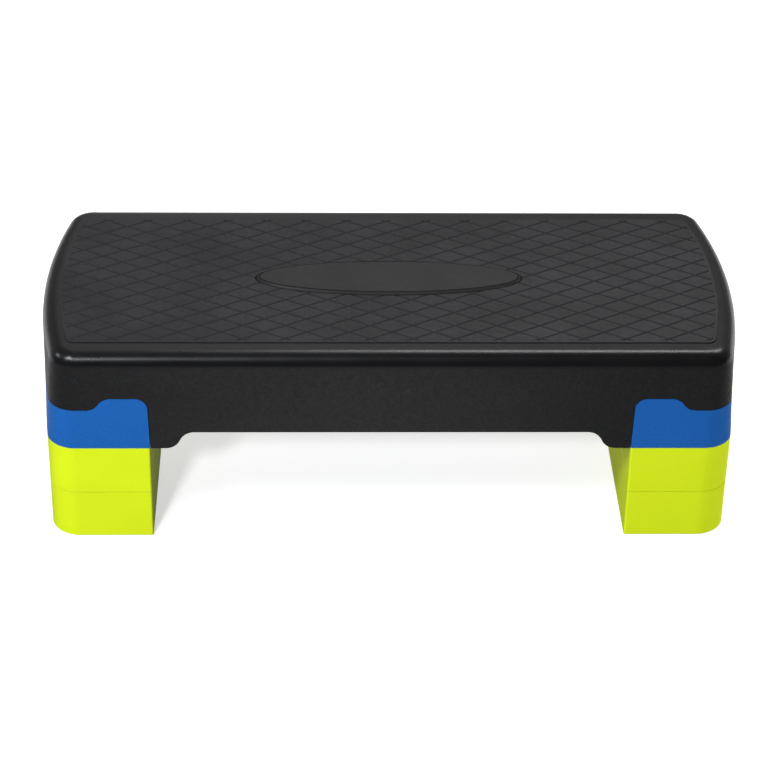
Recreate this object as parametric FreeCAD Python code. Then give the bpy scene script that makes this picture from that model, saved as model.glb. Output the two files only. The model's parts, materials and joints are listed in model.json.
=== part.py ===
import FreeCAD, Part
import math
import os

# Aerobic step platform: a moulded deck on two end feet, each foot on a stack of equal risers.
# Millimetres. X runs along the length, Y from front to back, Z up from the floor.
# The origin lies on the floor under the middle of the deck.

# Plan of the lower rim
LENGTH = 655.0
DEPTH = 282.0
RIM_BOW = 11.2              # the middle of an end stands out this far past the corners
RIM_CORNER = 28.5
FOOT_LENGTH = 104.5         # inner face of a foot or riser to the middle of the bowed end

# Plan of the deck below its round top edge
TOP_BOW = 18.6
TOP_CORNER = 24.0
SIDE_LEAN = 2.1             # front and back lean in by this much up to there

# Heights
RISER_NAMES = ("upper", "lower")
RISER_PITCH = 50.0          # height that each riser adds
DECK_HEIGHT = 98.7          # lower rim to top rim of the deck
PAD_STANDOFF = 0.5          # rubber pads stand out this far below a rim

# Deck moulding
EDGE_RADIUS = 14.0          # round of the top edge
EDGE_STEPS = 6              # flats that make up the round
WALL = 3.0
PLATE = 3.2                 # deck plate under the mat
RIB = 2.0
RIB_LIFT = 9.0              # deck ribs end this far above the feet's tongues
RIB_PITCH_X = 55.0
SKIRT_RISE = 17.5           # middle of the skirt above the lower rim
LEG_WIDTH = 14.5            # flat end of the skirt's leg beside a foot
OGEE_RUN = 26.5             # curve from the leg up to the middle of the skirt

# End foot
TAB_RISE = 53.2             # top of the side tabs above the lower rim
TAB_WIDTH = 35.0            # inner face to the far end of a tab's flat top
TAB_CORNER = 11.0
TAB_LEAN = 0.03             # slope of the tab's inner edge
DIP_DROP = 12.5             # band round the end lies this far below the tabs
DIP_RUN = 23.0
SKIN_GAP = 0.6              # open line between the skirt and a foot
SHOULDER = 8.0              # thick edge of the band, below the dip
TONGUE = 2.2                # lip that rises inside the skirt
TONGUE_GAP = 0.4
TONGUE_RISE = 6.0           # top of the lip above the tabs
WEB_DROP = 4.0              # top of the web below the tabs

# Pegs and sockets
PEG_SIDE = 22.0
PEG_HEIGHT = 10.0
PEG_CHAMFER = 1.5
PEG_CLEARANCE = 0.3         # on each side
SOCKET_WALL = 2.7
SOCKET_INSET = 26.0         # inner face to the inner sockets
SOCKET_END_INSET = 29.0     # middle of the end to the outer sockets
SOCKET_PITCH_Y = 140.0
RIB_RECESS = 6.0            # ribs of feet and risers stop short of the rim
RIM_CHAMFER = 0.6
INNER_CORNER = 2.0

# Rubber pads
PAD_SIDE = 16.0
PAD_THICKNESS = 4.0
PAD_CHAMFER = 0.6
PAD_CLEARANCE = 0.3
PAD_SEAT_WALL = 1.8
PAD_INSET_X = 20.0          # inner face to the inner pads
PAD_END_INSET = 34.0        # middle of the end to the outer pads
PAD_INSET_Y = 22.0          # front and back faces to the pads

# Screws between deck and feet
SCREW_RADIUS = 1.75
SCREW_LENGTH = 16.0
SCREW_HEAD_RADIUS = 4.0
SCREW_HEAD_HEIGHT = 2.6
SCREW_CLEARANCE = 0.5       # in the web
PILOT_CLEARANCE = 0.15      # in the boss
PILOT_SPARE = 2.0           # pilot hole past the screw's tip
BOSS_WALL = 3.2

# Tread mat and oval plate
MAT_THICKNESS = 3.0
MAT_PROUD = 0.8
MAT_GAP = 1.2               # open line along the front and back of the mat
MAT_END_MARGIN = 16.8       # outside of the deck to the mat at the ends
MAT_SIDE_MARGIN = 24.4      # and at the front and back
MAT_BOW = 14.0
MAT_CORNER = 8.0
TREAD_BORDER = 2.5
TREAD_PITCH_X = 39.2        # diamonds, from point to point
TREAD_PITCH_Y = 23.0
TREAD_SHIFT = -5.3          # crossing of the grooves on the centre line
GROOVE_WIDTH = 2.2
GROOVE_DEPTH = 1.1
OVAL_LENGTH = 252.4
OVAL_DEPTH = 62.0
OVAL_BEVEL = 3.0
OVAL_RISE = 2.0             # above the mat
OVAL_GAP = 1.2

# Places that follow from the sizes above
HALF_LENGTH = LENGTH / 2
HALF_DEPTH = DEPTH / 2
INNER_X = HALF_LENGTH - FOOT_LENGTH
DECK_Z = PAD_STANDOFF + len(RISER_NAMES) * RISER_PITCH
TOP_Z = DECK_Z + DECK_HEIGHT
EDGE_Z = TOP_Z - EDGE_RADIUS
MAT_FLOOR_Z = TOP_Z + MAT_PROUD - MAT_THICKNESS
MAT_TOP_Z = TOP_Z + MAT_PROUD
CEILING_Z = MAT_FLOOR_Z - PLATE
TAB_Z = DECK_Z + TAB_RISE
DIP_Z = TAB_Z - DIP_DROP
SHOULDER_Z = DIP_Z - SHOULDER
WEB_TOP_Z = TAB_Z - WEB_DROP
WEB_Z = WEB_TOP_Z - WALL
TONGUE_Z = TAB_Z + TONGUE_RISE
RIB_Z = TONGUE_Z + RIB_LIFT
TONGUE_INSET = WALL + TONGUE_GAP
SOCKET_SIDE = PEG_SIDE + 2 * PEG_CLEARANCE
SOCKET_XS = (INNER_X + SOCKET_INSET, HALF_LENGTH - SOCKET_END_INSET)
SOCKET_Y = SOCKET_PITCH_Y / 2
SPINE_X = sum(SOCKET_XS) / 2
SCREW_Y = SOCKET_Y / 2
PAD_XS = {"inner": INNER_X + PAD_INSET_X, "outer": HALF_LENGTH - PAD_END_INSET}
PAD_Y = HALF_DEPTH - PAD_INSET_Y
PAD_SEAT_DEPTH = PAD_THICKNESS - PAD_STANDOFF
PAD_SEAT_SIDE = PAD_SIDE + 2 * PAD_CLEARANCE
REACH = LENGTH + DEPTH      # longer than any piece, for cutting tools
SIDES = {"right": 0, "left": 180}
ROWS = {"front": -1, "back": 1}


def vector(x, y, z):
    return FreeCAD.Vector(x, y, z)


def box(x0, x1, y0, y1, z0, z1):
    return Part.makeBox(x1 - x0, y1 - y0, z1 - z0, vector(x0, y0, z0))


def slab(z0, z1, x0=-REACH):
    """Everything between two heights, from x0 outwards."""
    return box(x0, REACH, -REACH, REACH, z0, z1)


def rod(x, y, z0, z1, radius):
    return Part.makeCylinder(radius, z1 - z0, vector(x, y, z0))


def post(x, y, z0, z1, side):
    """Square upright about a point."""
    return box(x - side / 2, x + side / 2, y - side / 2, y + side / 2, z0, z1)


def arc(x, y, radius, start, end, z):
    angles = (start, (start + end) / 2, end)
    return Part.Arc(*[vector(x + radius * math.cos(a), y + radius * math.sin(a), z) for a in angles]).toShape()


def line(start, end):
    return Part.LineSegment(start, end).toShape()


def outline(half_length, half_depth, bow, corner, inset, z):
    """Plan outline with straight front and back, bowed ends and round corners, drawn in by inset."""
    bow_radius = (half_depth ** 2 + bow ** 2) / (2 * bow)
    bow_x = half_length - bow_radius
    corner_y = half_depth - corner
    corner_x = bow_x + math.sqrt((bow_radius - corner) ** 2 - corner_y ** 2)
    turn = math.atan2(corner_y, corner_x - bow_x)
    side_y = half_depth - inset
    quarter = math.pi / 2
    half = math.pi
    edges = [
        line(vector(-corner_x, -side_y, z), vector(corner_x, -side_y, z)),
        arc(corner_x, -corner_y, corner - inset, -quarter, -turn, z),
        arc(bow_x, 0, bow_radius - inset, -turn, turn, z),
        arc(corner_x, corner_y, corner - inset, turn, quarter, z),
        line(vector(corner_x, side_y, z), vector(-corner_x, side_y, z)),
        arc(-corner_x, corner_y, corner - inset, quarter, half - turn, z),
        arc(-bow_x, 0, bow_radius - inset, half - turn, half + turn, z),
        arc(-corner_x, -corner_y, corner - inset, half + turn, half + quarter, z),
    ]
    return Part.Wire(edges)


def rim(inset, z):
    return outline(HALF_LENGTH, HALF_DEPTH, RIM_BOW, RIM_CORNER, inset, z)


def shoulder(inset, z):
    """Plan of the deck where its sides end and the round of the top edge begins."""
    return outline(HALF_LENGTH, HALF_DEPTH - SIDE_LEAN, TOP_BOW, TOP_CORNER, inset, z)


def prism(wire, height):
    return Part.Face(wire).extrude(vector(0, 0, height))


def edges_at(shape, z):
    return [edge for edge in shape.Edges if all(abs(point.Z - z) < 1e-6 for point in edge.Vertexes)]


def hull(inset):
    """Leaning sides of deck and feet, drawn in by inset, up to the round of the top edge."""
    return Part.makeLoft([rim(inset, DECK_Z), shoulder(inset, EDGE_Z)], True, True)


def domed_hull(inset, top_z):
    """The same sides closed by a round edge of EDGE_STEPS flats that ends level at top_z."""
    sections = [rim(inset, DECK_Z), shoulder(inset, EDGE_Z)]
    for step in range(1, EDGE_STEPS + 1):
        angle = math.pi / 2 * step / EDGE_STEPS
        draw_in = (EDGE_RADIUS - inset) * (1 - math.cos(angle))
        sections.append(shoulder(inset + draw_in, EDGE_Z + (top_z - EDGE_Z) * math.sin(angle)))
    return Part.makeLoft(sections, True, True)


def s_curve(start, end):
    """Two equal arcs from one level to another, level at both ends."""
    middle = (start + end) / 2
    run = end.x - start.x
    rise = end.z - start.z
    radius = (run ** 2 + rise ** 2) / (4 * rise)
    half_turn = math.atan2(rise, abs(run))
    step = vector(math.copysign(radius * math.sin(half_turn), run), 0, radius * (1 - math.cos(half_turn)))
    return [Part.Arc(start, start + step, middle).toShape(), Part.Arc(middle, end - step, end).toShape()]


def side_prism(edges):
    """Side view outline in X and Z, carried through the whole depth."""
    face = Part.Face(Part.Wire(edges))
    face.translate(vector(0, -REACH, 0))
    return face.extrude(vector(0, 2 * REACH, 0))


def foot_space(gap):
    """Space of the right foot seen from the front: a raised tab, a dip and a level band; gap widens it."""
    slope = math.hypot(1, TAB_LEAN)
    radius = TAB_CORNER + gap
    top_z = TAB_Z + gap
    low = vector(INNER_X - gap * slope, 0, DECK_Z)
    centre = vector(low.x + TAB_LEAN * (top_z - radius - low.z) + radius * slope, 0, top_z - radius)
    tangent = vector(centre.x - radius / slope, 0, centre.z + radius * TAB_LEAN / slope)
    middle = (math.pi - math.atan(TAB_LEAN) + math.pi / 2) / 2
    bend = centre + vector(radius * math.cos(middle), 0, radius * math.sin(middle))
    crown = vector(centre.x, 0, top_z)
    tab_end = vector(INNER_X + TAB_WIDTH, 0, top_z)
    dip_start = vector(tab_end.x + DIP_RUN, 0, DIP_Z + gap)
    far = vector(REACH, 0, dip_start.z)
    floor_far = vector(REACH, 0, DECK_Z)
    edges = [line(low, tangent), Part.Arc(tangent, bend, crown).toShape(), line(crown, tab_end)]
    edges += s_curve(tab_end, dip_start)
    edges += [line(dip_start, far), line(far, floor_far), line(floor_far, low)]
    return side_prism(edges)


def skirt_arch():
    """Space under the middle of the skirt, with an ogee down to each leg."""
    leg_x = INNER_X - LEG_WIDTH
    high_z = DECK_Z + SKIRT_RISE
    points = [vector(leg_x, 0, DECK_Z), vector(leg_x - OGEE_RUN, 0, high_z)]
    mirrored = [vector(-point.x, 0, point.z) for point in reversed(points)]
    edges = s_curve(*points) + [line(points[1], mirrored[0])] + s_curve(*mirrored)
    edges.append(line(mirrored[1], points[0]))
    return side_prism(edges)


def turned(shape, side):
    """The right end's piece, or the same piece turned round for the left end."""
    copy = shape.copy()
    copy.rotate(vector(0, 0, 0), vector(0, 0, 1), SIDES[side])
    return copy


def both_ends(shape):
    return [turned(shape, side) for side in SIDES]


def grid(xs, y):
    return [(x, sign * y) for x in xs for sign in ROWS.values()]


def sockets():
    return grid(SOCKET_XS, SOCKET_Y)


def screw_places():
    return grid(SOCKET_XS, SCREW_Y)


def pad_places():
    return grid(PAD_XS.values(), PAD_Y)


def spaced(low, high, pitch):
    """Inner divisions of a span, as near to the pitch as equal bays allow."""
    bays = round((high - low) / pitch)
    return [low + (high - low) * k / bays for k in range(1, bays)]


def rib_along_x(y, z0, z1):
    return box(-REACH, REACH, y - RIB / 2, y + RIB / 2, z0, z1)


def rib_along_y(x, z0, z1):
    return box(x - RIB / 2, x + RIB / 2, -REACH, REACH, z0, z1)


def underframe(z0, z1):
    """Ribs, socket columns and pad posts inside the right foot or riser."""
    outer_y = (SOCKET_Y + HALF_DEPTH - WALL) / 2
    pieces = [rib_along_y(SPINE_X, z0 + RIB_RECESS, z1)]
    for y in (-outer_y, -SOCKET_Y, 0, SOCKET_Y, outer_y):
        pieces.append(rib_along_x(y, z0 + RIB_RECESS, z1))
    for x, y in sockets():
        pieces.append(post(x, y, z0, z1, SOCKET_SIDE + 2 * SOCKET_WALL))
    for x, y in pad_places():
        pieces.append(post(x, y, z0, z1, PAD_SEAT_SIDE + 2 * PAD_SEAT_WALL))
    return pieces


def underside_holes(z0, z1):
    """Sockets up to z1 and pad seats in the lower rim."""
    wells = [post(x, y, z0, z1, SOCKET_SIDE) for x, y in sockets()]
    seats = [post(x, y, z0, z0 + PAD_SEAT_DEPTH, PAD_SEAT_SIDE) for x, y in pad_places()]
    return wells + seats


def deck_cavity():
    """Hollow of the deck, less the ribs, screw bosses and the bulkheads beside the feet."""
    hollow = domed_hull(WALL, CEILING_Z)
    wall_x = INNER_X - SKIN_GAP
    solid = both_ends(box(wall_x - WALL, wall_x, -REACH, REACH, DECK_Z, TOP_Z))
    solid += both_ends(rib_along_y(SPINE_X, RIB_Z, TOP_Z))
    solid += [rib_along_y(x, RIB_Z, TOP_Z) for x in spaced(-wall_x, wall_x, RIB_PITCH_X)]
    side_y = (SCREW_Y + HALF_DEPTH) / 2
    solid += [rib_along_x(y, RIB_Z, TOP_Z) for y in (-side_y, -SCREW_Y, 0, SCREW_Y, side_y)]
    for x, y in screw_places():
        boss = rod(x, y, WEB_TOP_Z, TOP_Z, SCREW_RADIUS + BOSS_WALL)
        solid += both_ends(boss)
    return hollow.cut(solid)


def mat_outline(inset, z, gap=0):
    """Plan of the mat, drawn in by inset; gap widens it at the front and back only."""
    half_length = HALF_LENGTH - MAT_END_MARGIN
    half_depth = HALF_DEPTH - SIDE_LEAN - MAT_SIDE_MARGIN + gap
    return outline(half_length, half_depth, MAT_BOW, MAT_CORNER, inset, z)


def ellipse_wire(half_x, half_y, z):
    curve = Part.Ellipse(vector(0, 0, z), half_x, half_y)
    return Part.Wire([curve.toShape()])


def deck_shell():
    body = domed_hull(0, TOP_Z).cut(deck_cavity())
    notch = foot_space(SKIN_GAP).cut(hull(WALL))
    tools = [skirt_arch()] + both_ends(notch)
    tools.append(prism(mat_outline(0, MAT_FLOOR_Z, MAT_GAP), MAT_THICKNESS))
    for x, y in screw_places():
        tip_z = WEB_Z + SCREW_LENGTH + PILOT_SPARE
        tools += both_ends(rod(x, y, WEB_TOP_Z, tip_z, SCREW_RADIUS + PILOT_CLEARANCE))
    return body.cut(tools)


def groove_family(direction):
    """Parallel V grooves over the whole mat, slanting one way."""
    run = vector(TREAD_PITCH_X, direction * TREAD_PITCH_Y, 0)
    run.normalize()
    across = vector(-run.y, run.x, 0)
    rows = math.ceil((LENGTH / TREAD_PITCH_X + DEPTH / TREAD_PITCH_Y) / 2)
    grooves = []
    for k in range(-rows, rows + 1):
        start = vector(0, TREAD_SHIFT + k * TREAD_PITCH_Y, MAT_TOP_Z) - run * LENGTH
        lip = across * (GROOVE_WIDTH / 2)
        deep = start - vector(0, 0, GROOVE_DEPTH)
        profile = Part.makePolygon([start - lip, deep, start + lip, start - lip])
        grooves.append(Part.Face(profile).extrude(run * (2 * LENGTH)))
    return Part.Compound(grooves)


def tread_mat():
    mat = prism(mat_outline(0, MAT_FLOOR_Z), MAT_THICKNESS)
    hole = ellipse_wire(OVAL_LENGTH / 2 + OVAL_GAP, OVAL_DEPTH / 2 + OVAL_GAP, MAT_FLOOR_Z)
    mat = mat.cut(prism(hole, MAT_THICKNESS))
    field = prism(mat_outline(TREAD_BORDER, MAT_FLOOR_Z), MAT_THICKNESS)
    for direction in (1, -1):
        mat = mat.cut(groove_family(direction).common(field))
    return mat


def oval_plate():
    """Bare oval plate on the deck, with a bevel from the mat's level up to its top."""
    half_x = OVAL_LENGTH / 2
    half_y = OVAL_DEPTH / 2
    base = prism(ellipse_wire(half_x, half_y, MAT_FLOOR_Z), MAT_THICKNESS)
    foot = ellipse_wire(half_x, half_y, MAT_TOP_Z)
    crown = ellipse_wire(half_x - OVAL_BEVEL, half_y - OVAL_BEVEL, MAT_TOP_Z + OVAL_RISE)
    return base.fuse(Part.makeLoft([foot, crown], True, True)).removeSplitter()


def end_foot():
    """Right foot: a band under the skirt, a tongue inside it and a web with sockets beneath."""
    wall_x = INNER_X + WALL
    tongue_inset = TONGUE_INSET + TONGUE
    block = foot_space(0).common(hull(0))
    lip = hull(TONGUE_INSET).common(slab(SHOULDER_Z, TONGUE_Z, wall_x))
    low_hollow = hull(WALL).common(slab(DECK_Z, SHOULDER_Z, wall_x))
    high_hollow = hull(tongue_inset).common(slab(SHOULDER_Z, WEB_Z, wall_x))
    frame = underframe(DECK_Z, WEB_Z)
    tools = [low_hollow.cut(frame), high_hollow.cut(frame)]
    tools.append(hull(tongue_inset).common(slab(WEB_TOP_Z, TONGUE_Z, 0)))
    tools += underside_holes(DECK_Z, WEB_Z)
    tools += [rod(x, y, WEB_Z, WEB_TOP_Z, SCREW_RADIUS + SCREW_CLEARANCE) for x, y in screw_places()]
    return block.fuse(lip).cut(tools).removeSplitter()


def riser(z0):
    """Right riser: an open-bottomed box with pegs on top and sockets of the same pattern beneath."""
    top_z = z0 + RISER_PITCH
    plate_z = top_z - WALL
    body = prism(rim(0, z0), RISER_PITCH).common(slab(z0, top_z, INNER_X))
    uprights = [edge for edge in body.Edges if edge.BoundBox.XMax < INNER_X + 1e-6 and edge.BoundBox.ZLength > WALL]
    body = body.makeFillet(INNER_CORNER, uprights)
    body = body.makeChamfer(RIM_CHAMFER, edges_at(body, z0) + edges_at(body, top_z))
    hollow = prism(rim(WALL, z0), plate_z - z0).common(slab(z0, plate_z, INNER_X + WALL))
    pegs = []
    cores = []
    for x, y in sockets():
        peg = post(x, y, plate_z, top_z + PEG_HEIGHT, PEG_SIDE)
        pegs.append(peg.makeChamfer(PEG_CHAMFER, edges_at(peg, top_z + PEG_HEIGHT)))
        cores.append(post(x, y, z0, top_z + PEG_HEIGHT - WALL, PEG_SIDE - 2 * WALL))
    dimple_depth = PAD_STANDOFF + PAD_CLEARANCE
    dimple_side = PAD_SEAT_SIDE + 2 * PAD_CLEARANCE
    dimples = [post(x, y, top_z - dimple_depth, top_z, dimple_side) for x, y in pad_places()]
    tools = [hollow.cut(underframe(z0, plate_z))] + underside_holes(z0, plate_z) + cores + dimples
    return body.fuse(pegs).cut(tools).removeSplitter()


def pad(x, y, rim_z):
    """Square rubber pad in its seat, standing out below the rim."""
    low_z = rim_z - PAD_STANDOFF
    block = post(x, y, low_z, low_z + PAD_THICKNESS, PAD_SIDE)
    return block.makeChamfer(PAD_CHAMFER, edges_at(block, low_z))


def screw(x, y):
    """Pan-head screw up through the web into a boss of the deck."""
    head_z = WEB_Z - SCREW_HEAD_HEIGHT
    shank = rod(x, y, WEB_Z, WEB_Z + SCREW_LENGTH, SCREW_RADIUS)
    head = rod(x, y, head_z, WEB_Z, SCREW_HEAD_RADIUS)
    head = head.makeChamfer(SCREW_HEAD_HEIGHT / 2, edges_at(head, head_z))
    return shank.fuse(head)


def rim_levels():
    """Each piece with rubber pads and the height of its lower rim."""
    levels = {"end_foot": DECK_Z}
    for step, name in enumerate(RISER_NAMES, start=1):
        levels[name + "_riser"] = DECK_Z - step * RISER_PITCH
    return levels


def pads(side):
    """Rubber pads of one end, named by where they lie."""
    named = {}
    for piece, rim_z in rim_levels().items():
        for row, row_sign in ROWS.items():
            for place, x in PAD_XS.items():
                name = f"{side}_{piece}_pad_{row}_{place}"
                end_sign = math.cos(math.radians(SIDES[side]))
                named[name] = pad(end_sign * x, row_sign * PAD_Y, rim_z)
    return named


def main():
    nodes = {"deck_shell": deck_shell(), "tread_mat": tread_mat(), "oval_plate": oval_plate()}
    foot = end_foot()
    screws = Part.Compound([screw(x, y) for x, y in screw_places()])
    risers = {piece: riser(z) for piece, z in rim_levels().items() if piece != "end_foot"}
    for side in SIDES:
        nodes[side + "_end_foot"] = turned(foot, side)
        nodes[side + "_foot_screws"] = turned(screws, side)
        for piece, shape in risers.items():
            nodes[f"{side}_{piece}"] = turned(shape, side)
        nodes.update(pads(side))
    os.makedirs("parts", exist_ok=True)
    for name, shape in nodes.items():
        single = shape.Solids[0] if len(shape.Solids) == 1 else shape
        print(name, len(shape.Solids), shape.isValid(), round(shape.Volume))
        single.exportStep(f"parts/{name}.step")


main()
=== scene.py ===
import bpy
import json
import math
import mathutils
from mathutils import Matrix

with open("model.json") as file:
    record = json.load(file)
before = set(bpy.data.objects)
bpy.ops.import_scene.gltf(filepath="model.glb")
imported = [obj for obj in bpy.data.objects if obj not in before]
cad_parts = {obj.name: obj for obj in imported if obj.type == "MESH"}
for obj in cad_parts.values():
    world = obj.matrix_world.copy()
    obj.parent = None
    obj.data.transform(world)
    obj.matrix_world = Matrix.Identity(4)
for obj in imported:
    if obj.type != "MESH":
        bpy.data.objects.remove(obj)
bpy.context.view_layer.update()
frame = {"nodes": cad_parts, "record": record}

# Aerobic step platform: finishes of the moulded pieces, studio light and the photograph's camera.
# Metres, in the same frame as the solids.

# Camera, solved from the photograph's edges
IMAGE_SIZE = 768
FOCAL_PIXELS = 2503.0
CAMERA_PLACE = (-0.0763, -2.0504, 1.4196)
CAMERA_PITCH = math.radians(33.17)
CAMERA_TURN = math.radians(1.72)
SENSOR_WIDTH = 36.0

# Finishes, as linear colours
DECK_SKIRT = (0.0038, 0.0038, 0.0043)
DECK_POLISH = (0.0035, 0.0035, 0.004)
# Painted light: lighter black for the deck's level rim
DECK_RIM_PAINTED_LIGHT = (0.0075, 0.0075, 0.0082)
DECK_FLECK = (0.03, 0.03, 0.031)
DECK_SCUFF = (0.035, 0.035, 0.036)
MAT_CHARCOAL = (0.0150, 0.0150, 0.0168)
MAT_GROOVE = (0.0152, 0.0152, 0.0168)
MAT_DUST = (0.045, 0.045, 0.047)
# Painted shadow: colour of the dark line round the oval plate
PLATE_BLACK = (0.0120, 0.0120, 0.0119)
PLATE_SHADOW_LINE = (0.0015, 0.0015, 0.0015)
FOOT_BLUE = (0.012, 0.114, 0.415)
RISER_LIME = (0.715, 0.860, 0.014)
PAD_RUBBER = (0.016, 0.016, 0.017)
SCREW_ZINC = (0.560, 0.575, 0.590)
WHITE = (1.0, 1.0, 1.0)

# Share of darker grit in the coloured plastics
FOOT_GRIT = 0.6
RISER_GRIT = 0.12

# Roughness of each finish, from its smoothest spots to its dullest
SKIRT_ROUGH = (0.50, 0.62)
POLISH_ROUGH = (0.27, 0.31)
MAT_ROUGH = (0.46, 0.60)
PLATE_ROUGH = (0.40, 0.50)
COLOURED_ROUGH = (0.48, 0.60)
SCREW_ROUGH = (0.25, 0.42)
PAD_ROUGH = 0.78
GROOVE_DULLER = 0.25
LINE_DULLER = 0.45

# How strongly each finish mirrors
DECK_SHEEN = 0.42
MAT_SHEEN = 0.30
PLATE_SHEEN = 0.34
COLOURED_SHEEN = 0.14
PAD_SHEEN = 0.30

# Scales of the surface detail, per metre
SKIN_GRAIN = 1500.0
MAT_PEBBLE = 900.0
MAT_GRAIN = 2600.0
PLATE_GRAIN = 1900.0
PAD_GRAIN = 1800.0
SCREW_GRAIN = 2500.0
SPECKLE = 700.0
SCUFFS = 60.0
SCRATCHES = 140.0
DUST = 45.0
FLOW_MARKS = 7.0

# Depths of the surface detail, in metres
DECK_GRAIN_DEPTH = 0.0003
PEBBLE_DEPTH = 0.0004
GRAIN_DEPTH = 0.0002
TURNING_DEPTH = 0.0001

# Stretches of a noise's values that are spread out into patches
SOFT_PATCHES = (0.35, 0.65)
WIDE_PATCHES = (0.3, 0.7)

# Upward share of the surface's normal where the deck's polish and its level rim with painted light begin,
# where the mat is in its grooves, and where the chamfers of the coloured mouldings with painted shade lie
POLISH_START = (0.04, 0.3)
PAINTED_RIM_LIGHT_START = (0.96, 0.995)
GROOVE_SLOPE = (0.85, 0.99)
CHAMFER_START = (0.3, 0.5)
CHAMFER_END = (0.85, 0.95)

# Flat of the oval plate, half its length and depth, and half the width of the painted shadow line round it
PLATE_FLAT = (0.1232, 0.0280)
PLATE_SHADOW_LINE_WIDTH = 0.0011

# Rounds are smooth where faces meet at less than this angle and share corners within this reach
SMOOTH_ANGLE = math.radians(26)
WELD_REACH = 0.000005

# Floor: shade and glow that are seen, and shade that lights the part
FLOOR_SIZE = 14.0
FLOOR_SHADE = (0.70, 0.70, 0.70)
FLOOR_GLOW = 0.60
FLOOR_BOUNCE = (0.22, 0.22, 0.22)

# Glow of the floor in reflections: it grows over a stretch of Y from far in front to near the part, and in
# front of the part it fades over stretches of X to the left and the right
FLOOR_MIRRORED = (0.05, 0.70)
FLOOR_FALL = (-0.95, -0.42)
POOL_LEFT = (-0.38, -0.06)
POOL_RIGHT = (0.00, 0.29)
POOL_BACK = (-0.15, 0.15)

# Light of the room: strength in front and behind, with the stretch of the direction's Y between them, and
# strength of a pale board behind, with the stretches of the direction's X and Y over which it fades
ROOM_LIGHT = (0.06, 0.22)
WALL_DEPTH = (-0.2, 0.5)
BOARD_LIGHT = 0.30
BOARD_LEFT = (-0.26, -0.02)
BOARD_RIGHT = (-0.02, 0.14)
BOARD_DEPTH = (0.2, 0.75)

# Lamps: place, point that they face, width and depth, watts, colour, and whether they show in reflections
DAYLIGHT = (0.97, 0.985, 1.0)
COOL = (0.93, 0.965, 1.0)
WARM = (1.0, 0.985, 0.96)
LAMPS = {
    "key": ((-0.75, -2.1, 1.52), (0.0, 0.0, 0.10), (0.25, 0.25), 47.0, DAYLIGHT, False),
    "overhead_panel": ((0.8, 1.1, 2.2), (0.8, 0.6, 0.0), (1.7, 0.5), 26.0, WARM, True),
    "softbox_left": ((-0.95, -1.3, 2.0), (0.0, 0.0, 0.15), (0.7, 0.5), 32.0, COOL, True),
    "fill_right": ((2.0, 0.25, 0.55), (0.3, 0.0, 0.10), (0.8, 0.8), 27.0, WARM, False),
    "fill_back": ((0.3, 2.4, 1.4), (0.0, 0.1, 0.10), (1.2, 0.8), 15.0, WHITE, False),
    "window_left": ((-2.0, 0.0, 1.25), (-0.3, -0.1, 0.15), (0.35, 0.35), 5.0, COOL, True),
}


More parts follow.
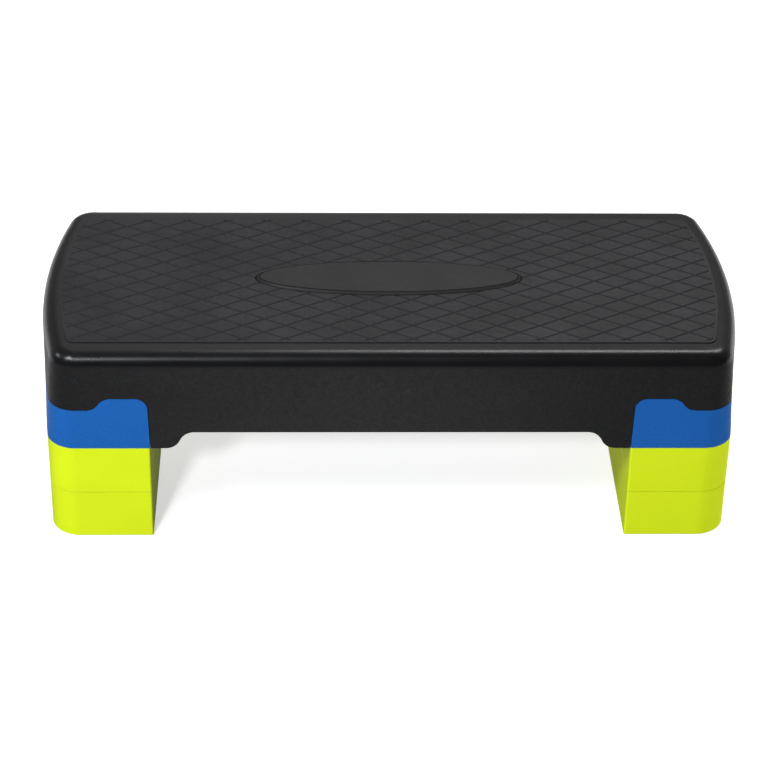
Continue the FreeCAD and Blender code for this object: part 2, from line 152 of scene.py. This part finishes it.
class Shader:
    """The node tree of a material or a world, with short ways to add and join nodes."""

    def __init__(self, name, kind="materials", coordinates="Object"):
        self.block = getattr(bpy.data, kind).new(name)
        self.block.use_nodes = True
        self.tree = self.block.node_tree
        self.tree.nodes.clear()
        self.place = self.add("ShaderNodeTexCoord").outputs[coordinates]

    def add(self, kind, settings=None, **inputs):
        """A node with its settings, and its inputs joined to sockets or set to values."""
        node = self.tree.nodes.new(kind)
        for key, value in (settings or {}).items():
            setattr(node, key, value)
        for key, value in inputs.items():
            self.plug(node.inputs[key.replace("_", " ")], value)
        return node

    def plug(self, socket, value):
        if isinstance(value, bpy.types.NodeSocket):
            self.tree.links.new(value, socket)
        else:
            socket.default_value = value

    def axes(self):
        """X, Y and Z of the place, or of the direction in a world."""
        return self.add("ShaderNodeSeparateXYZ", Vector=self.place).outputs

    def upward(self):
        """The surface's own upward share: 1 on level tops, 0 on upright walls."""
        normal = self.add("ShaderNodeNewGeometry").outputs["Normal"]
        return self.add("ShaderNodeSeparateXYZ", Vector=normal).outputs["Z"]

    def scaled(self, place, scale):
        return self.add("ShaderNodeMapping", Vector=place, Scale=scale).outputs["Vector"]

    def noise(self, scale, detail=3.0, rough=0.55, stretch=None):
        place = self.scaled(self.place, stretch) if stretch else self.place
        node = self.add("ShaderNodeTexNoise", Vector=place, Scale=scale, Detail=detail, Roughness=rough)
        return node.outputs["Fac"]

    def cells(self, scale):
        node = self.add("ShaderNodeTexVoronoi", {"feature": "SMOOTH_F1"}, Vector=self.place, Scale=scale)
        return node.outputs["Distance"]

    def span(self, value, low, high, out_low=0.0, out_high=1.0):
        """Value between low and high, eased and mapped onto the outer range."""
        node = self.add("ShaderNodeMapRange", {"interpolation_type": "SMOOTHSTEP"}, Value=value,
                        From_Min=low, From_Max=high, To_Min=out_low, To_Max=out_high)
        return node.outputs["Result"]

    def band(self, value, rise, fall):
        """1 between the stretches where it rises and falls, and 0 outside them."""
        return self.math("MULTIPLY", self.span(value, *rise), self.span(value, *fall, 1.0, 0.0))

    def math(self, operation, first, second=0.0):
        node = self.add("ShaderNodeMath", {"operation": operation})
        self.plug(node.inputs[0], first)
        self.plug(node.inputs[1], second)
        return node.outputs["Value"]

    def blend(self, share, first, second):
        """A value between two others."""
        node = self.add("ShaderNodeMix", Factor=share)
        self.plug(node.inputs[2], first)
        self.plug(node.inputs[3], second)
        return node.outputs[0]

    def mix(self, share, first, second):
        """A colour between two others."""
        node = self.add("ShaderNodeMix", {"data_type": "RGBA"}, Factor=share)
        for socket, colour in ((node.inputs[6], first), (node.inputs[7], second)):
            self.plug(socket, colour if isinstance(colour, bpy.types.NodeSocket) else (*colour, 1.0))
        return node.outputs[2]

    def bump(self, height, strength, depth, below=None):
        node = self.add("ShaderNodeBump", Height=height, Strength=strength, Distance=depth)
        if below:
            self.plug(node.inputs["Normal"], below)
        return node.outputs["Normal"]

    def length(self, vector):
        return self.add("ShaderNodeVectorMath", {"operation": "LENGTH"}, Vector=vector).outputs["Value"]

    def off_ellipse(self, half_length, half_depth):
        """Distance from an ellipse about the middle of the plan, in metres."""
        squeeze = (1 / half_length, 1 / half_depth, 0.0)
        near = self.scaled(self.place, squeeze)
        reach = self.length(near)
        slope = self.length(self.scaled(near, squeeze))
        share = self.math("SUBTRACT", reach, 1.0)
        return self.math("ABSOLUTE", self.math("MULTIPLY", share, self.math("DIVIDE", reach, slope)))

    def finish(self, **inputs):
        surface = self.add("ShaderNodeBsdfPrincipled", **inputs)
        self.add("ShaderNodeOutputMaterial", Surface=surface.outputs["BSDF"])
        return self.block


def shades(colour, darker, lighter):
    """A colour's darker and lighter neighbours."""
    return tuple(c * darker for c in colour), tuple(c * lighter for c in colour)


def deck_plastic():
    """Black polypropylene: fine spark grain on the skirt, a polished round and rim on top, and painted light
    on the level rim.
    """
    s = Shader("deck_black")
    up = s.upward()
    polish = s.span(up, *POLISH_START)
    flow = s.noise(FLOW_MARKS, stretch=(1.0, 1.0, 3.0))
    skin = s.mix(s.span(flow, *SOFT_PATCHES), *shades(DECK_SKIRT, 0.85, 1.2))
    fleck = s.span(s.noise(SPECKLE, detail=2.0), 0.5, 0.7, out_high=0.28)
    skin = s.mix(fleck, skin, DECK_FLECK)
    scuff = s.noise(SCUFFS, detail=8.0, rough=0.7, stretch=(1.0, 1.0, 0.35))
    skin = s.mix(s.span(scuff, 0.62, 0.78, out_high=0.2), skin, DECK_SCUFF)
    # Painted light: the level rim takes a lighter black than the polished round and the skirt
    top = s.mix(s.span(up, *PAINTED_RIM_LIGHT_START), DECK_POLISH, DECK_RIM_PAINTED_LIGHT)
    rough_skin = s.span(s.noise(220.0, detail=4.0), *WIDE_PATCHES, *SKIRT_ROUGH)
    rough_top = s.span(s.noise(40.0, detail=4.0), *WIDE_PATCHES, *POLISH_ROUGH)
    grain = s.noise(SKIN_GRAIN, detail=2.0)
    strength = s.span(polish, 0.0, 1.0, out_low=0.3, out_high=0.02)
    return s.finish(Base_Color=s.mix(polish, skin, top), Roughness=s.blend(polish, rough_skin, rough_top),
                    Specular_IOR_Level=DECK_SHEEN, Normal=s.bump(grain, strength, DECK_GRAIN_DEPTH))


def mat_rubber():
    """Charcoal non-slip mat: pebbled tiles with a little dust, duller down in the grooves."""
    s = Shader("mat_charcoal")
    colour = s.mix(s.span(s.noise(14.0, detail=5.0), *SOFT_PATCHES), *shades(MAT_CHARCOAL, 0.82, 1.2))
    groove = s.span(s.upward(), *GROOVE_SLOPE, 1.0, 0.0)
    colour = s.mix(groove, colour, MAT_GROOVE)
    dust = s.span(s.noise(DUST, detail=8.0, rough=0.7), 0.58, 0.8, out_high=0.3)
    colour = s.mix(dust, colour, MAT_DUST)
    rough = s.span(s.noise(160.0, detail=4.0), *WIDE_PATCHES, *MAT_ROUGH)
    rough = s.math("ADD", rough, s.math("MULTIPLY", groove, GROOVE_DULLER))
    pebble = s.bump(s.cells(MAT_PEBBLE), 0.25, PEBBLE_DEPTH)
    normal = s.bump(s.noise(MAT_GRAIN, detail=2.0), 0.12, GRAIN_DEPTH, pebble)
    return s.finish(Base_Color=colour, Roughness=rough, Specular_IOR_Level=MAT_SHEEN, Normal=normal)


def plate_plastic():
    """Bare oval plate: smooth satin black with the faintest grain and a painted shadow line where its bevel
    begins.
    """
    s = Shader("plate_black")
    colour = s.mix(s.span(s.noise(18.0, detail=4.0), *SOFT_PATCHES), *shades(PLATE_BLACK, 0.9, 1.15))
    # Painted shade: a dark line round the plate's flat stands in for the shadowed gap about the plate
    line = s.span(s.off_ellipse(*PLATE_FLAT), 0.0, PLATE_SHADOW_LINE_WIDTH, 1.0, 0.0)
    colour = s.mix(line, colour, PLATE_SHADOW_LINE)
    rough = s.span(s.noise(120.0, detail=5.0), *WIDE_PATCHES, *PLATE_ROUGH)
    rough = s.math("ADD", rough, s.math("MULTIPLY", line, LINE_DULLER))
    normal = s.bump(s.noise(PLATE_GRAIN, detail=2.0), 0.05, GRAIN_DEPTH)
    return s.finish(Base_Color=colour, Roughness=rough, Specular_IOR_Level=PLATE_SHEEN, Normal=normal)


def coloured_plastic(name, colour, grit_share):
    """Moulded polypropylene: matt skin, soft flow marks, fine scratches and grain, and painted shade on the
    seam chamfers.
    """
    s = Shader(name)
    flow = s.noise(FLOW_MARKS, rough=0.5, stretch=(1.0, 1.0, 2.5))
    shade = s.mix(s.span(flow, *WIDE_PATCHES), *shades(colour, 0.97, 1.02))
    scratch = s.noise(SCRATCHES, detail=6.0, rough=0.6, stretch=(1.0, 1.0, 0.08))
    pale = tuple(0.75 * c + 0.12 for c in colour)
    shade = s.mix(s.span(scratch, 0.66, 0.8, out_high=0.12), shade, pale)
    grit = s.span(s.noise(SPECKLE, detail=2.0), 0.45, 0.65, out_high=grit_share)
    shade = s.mix(grit, shade, tuple(0.8 * c for c in colour))
    # Painted shade: the chamfers at the seams take a darker colour
    painted_seam_shade = s.band(s.upward(), CHAMFER_START, CHAMFER_END)
    shade = s.mix(s.math("MULTIPLY", painted_seam_shade, 0.55), shade, tuple(0.45 * c for c in colour))
    rough = s.span(s.noise(200.0, detail=4.0), *WIDE_PATCHES, *COLOURED_ROUGH)
    normal = s.bump(s.noise(SKIN_GRAIN, detail=2.0), 0.10, GRAIN_DEPTH)
    return s.finish(Base_Color=shade, Roughness=rough, Specular_IOR_Level=COLOURED_SHEEN, Normal=normal)


def pad_rubber():
    """Matt rubber with a dusty bloom."""
    s = Shader("pad_rubber")
    bloom = s.span(s.noise(300.0, detail=6.0), 0.35, 0.7)
    colour = s.mix(bloom, *shades(PAD_RUBBER, 0.8, 1.5))
    normal = s.bump(s.noise(PAD_GRAIN), 0.2, GRAIN_DEPTH)
    return s.finish(Base_Color=colour, Roughness=PAD_ROUGH, Specular_IOR_Level=PAD_SHEEN, Normal=normal)


def screw_metal():
    """Zinc-plated steel with a turned grain and dull patches."""
    s = Shader("screw_zinc")
    colour = s.mix(s.span(s.noise(700.0, detail=4.0), *SOFT_PATCHES), *shades(SCREW_ZINC, 0.75, 1.05))
    rough = s.span(s.noise(900.0, detail=4.0), *WIDE_PATCHES, *SCREW_ROUGH)
    turned = s.noise(SCREW_GRAIN, detail=2.0, rough=0.5, stretch=(1.0, 1.0, 6.0))
    normal = s.bump(turned, 0.1, TURNING_DEPTH)
    return s.finish(Base_Color=colour, Roughness=rough, Metallic=1.0, Normal=normal)


def smooth(node):
    """Shades rounds smoothly across the solid's faces and keeps its edges crisp."""
    node.data.shade_smooth()
    weld = node.modifiers.new("weld", "WELD")
    weld.merge_threshold = WELD_REACH
    split = node.modifiers.new("edges", "EDGE_SPLIT")
    split.split_angle = SMOOTH_ANGLE
    split.use_edge_sharp = False
    node.modifiers.new("normals", "WEIGHTED_NORMAL")


def dress_nodes():
    """Gives each solid the finish of its material slot and smooth rounds."""
    finishes = {
        "deck_black": deck_plastic(),
        "mat_black": mat_rubber(),
        "plate_black": plate_plastic(),
        "foot_blue": coloured_plastic("foot_blue_satin", FOOT_BLUE, FOOT_GRIT),
        "riser_lime": coloured_plastic("riser_lime_satin", RISER_LIME, RISER_GRIT),
        "pad_rubber": pad_rubber(),
        "screw_steel": screw_metal(),
    }
    slots = {part["node"]: part["material_slot"] for part in frame["record"]["subparts"]}
    for name, node in frame["nodes"].items():
        for slot in node.material_slots:
            slot.material = finishes[slots[name]]
        smooth(node)


def floor_surface():
    """White where it is seen, with the shadow of the part, and dimmer where it lights the part."""
    s = Shader("floor_white")
    place = s.axes()
    ray = s.add("ShaderNodeLightPath").outputs
    pool = s.math("MAXIMUM", s.band(place["X"], POOL_LEFT, POOL_RIGHT), s.span(place["Y"], *POOL_BACK))
    mirrored = s.math("MAXIMUM", ray["Is Glossy Ray"], ray["Is Transmission Ray"])
    mirrored = s.math("MULTIPLY", mirrored, s.span(place["Y"], *FLOOR_FALL, *FLOOR_MIRRORED))
    mirrored = s.math("MULTIPLY", mirrored, pool)
    direct = s.math("MULTIPLY", ray["Is Camera Ray"], FLOOR_GLOW)
    glow = s.add("ShaderNodeEmission", Color=(*WHITE, 1.0), Strength=s.math("MAXIMUM", direct, mirrored))
    diffuse = s.add("ShaderNodeBsdfDiffuse", Color=s.mix(ray["Is Camera Ray"], FLOOR_BOUNCE, FLOOR_SHADE))
    both = s.add("ShaderNodeAddShader")
    s.plug(both.inputs[0], diffuse.outputs["BSDF"])
    s.plug(both.inputs[1], glow.outputs["Emission"])
    s.add("ShaderNodeOutputMaterial", Surface=both.outputs["Shader"])
    return s.block


def floor():
    """Wide floor under the part."""
    half = FLOOR_SIZE / 2
    corners = [(-half, -half, 0), (half, -half, 0), (half, half, 0), (-half, half, 0)]
    mesh = bpy.data.meshes.new("floor")
    mesh.from_pydata(corners, [], [(0, 1, 2, 3)])
    mesh.materials.append(floor_surface())
    piece = bpy.data.objects.new("floor", mesh)
    bpy.context.collection.objects.link(piece)


def room():
    """Dim room with a paler wall and a pale board behind."""
    s = Shader("studio", "worlds", "Generated")
    bpy.context.scene.world = s.block
    way = s.axes()
    board = s.band(way["X"], BOARD_LEFT, BOARD_RIGHT)
    board = s.math("MULTIPLY", board, s.span(way["Y"], *BOARD_DEPTH, out_high=BOARD_LIGHT))
    strength = s.math("ADD", board, s.span(way["Y"], *WALL_DEPTH, *ROOM_LIGHT))
    glow = s.add("ShaderNodeBackground", Color=(*WHITE, 1.0), Strength=strength)
    s.add("ShaderNodeOutputWorld", Surface=glow.outputs["Background"])


def area_light(name, place, aim, size, power, colour, glossy):
    """A rectangular lamp at a place, turned to face a point."""
    data = bpy.data.lights.new(name, "AREA")
    data.shape = "RECTANGLE"
    data.size, data.size_y = size
    data.energy = power
    data.color = colour
    lamp = bpy.data.objects.new(name, data)
    bpy.context.collection.objects.link(lamp)
    lamp.location = place
    along, across, up = (a - p for a, p in zip(aim, place))
    lamp.rotation_euler = (math.atan2(math.hypot(along, across), -up), 0.0, math.atan2(-along, across))
    lamp.visible_glossy = glossy


def lights():
    """Soft studio light: a key beside the camera, a panel overhead, two lamps at the left, and fills."""
    room()
    for name, lamp in LAMPS.items():
        area_light(name, *lamp)


def camera():
    """The photograph's camera, turned about its own upright axis."""
    data = bpy.data.cameras.new("camera")
    data.sensor_fit = "HORIZONTAL"
    data.sensor_width = SENSOR_WIDTH
    data.lens = FOCAL_PIXELS / IMAGE_SIZE * SENSOR_WIDTH
    eye = bpy.data.objects.new("camera", data)
    bpy.context.collection.objects.link(eye)
    eye.location = CAMERA_PLACE
    level = mathutils.Matrix.Rotation(math.pi / 2 - CAMERA_PITCH, 3, "X")
    turned = level @ mathutils.Matrix.Rotation(-CAMERA_TURN, 3, "Y")
    eye.rotation_euler = turned.to_euler()
    bpy.context.scene.camera = eye


dress_nodes()
floor()
lights()
camera()
bpy.context.scene.view_settings.view_transform = "Standard"
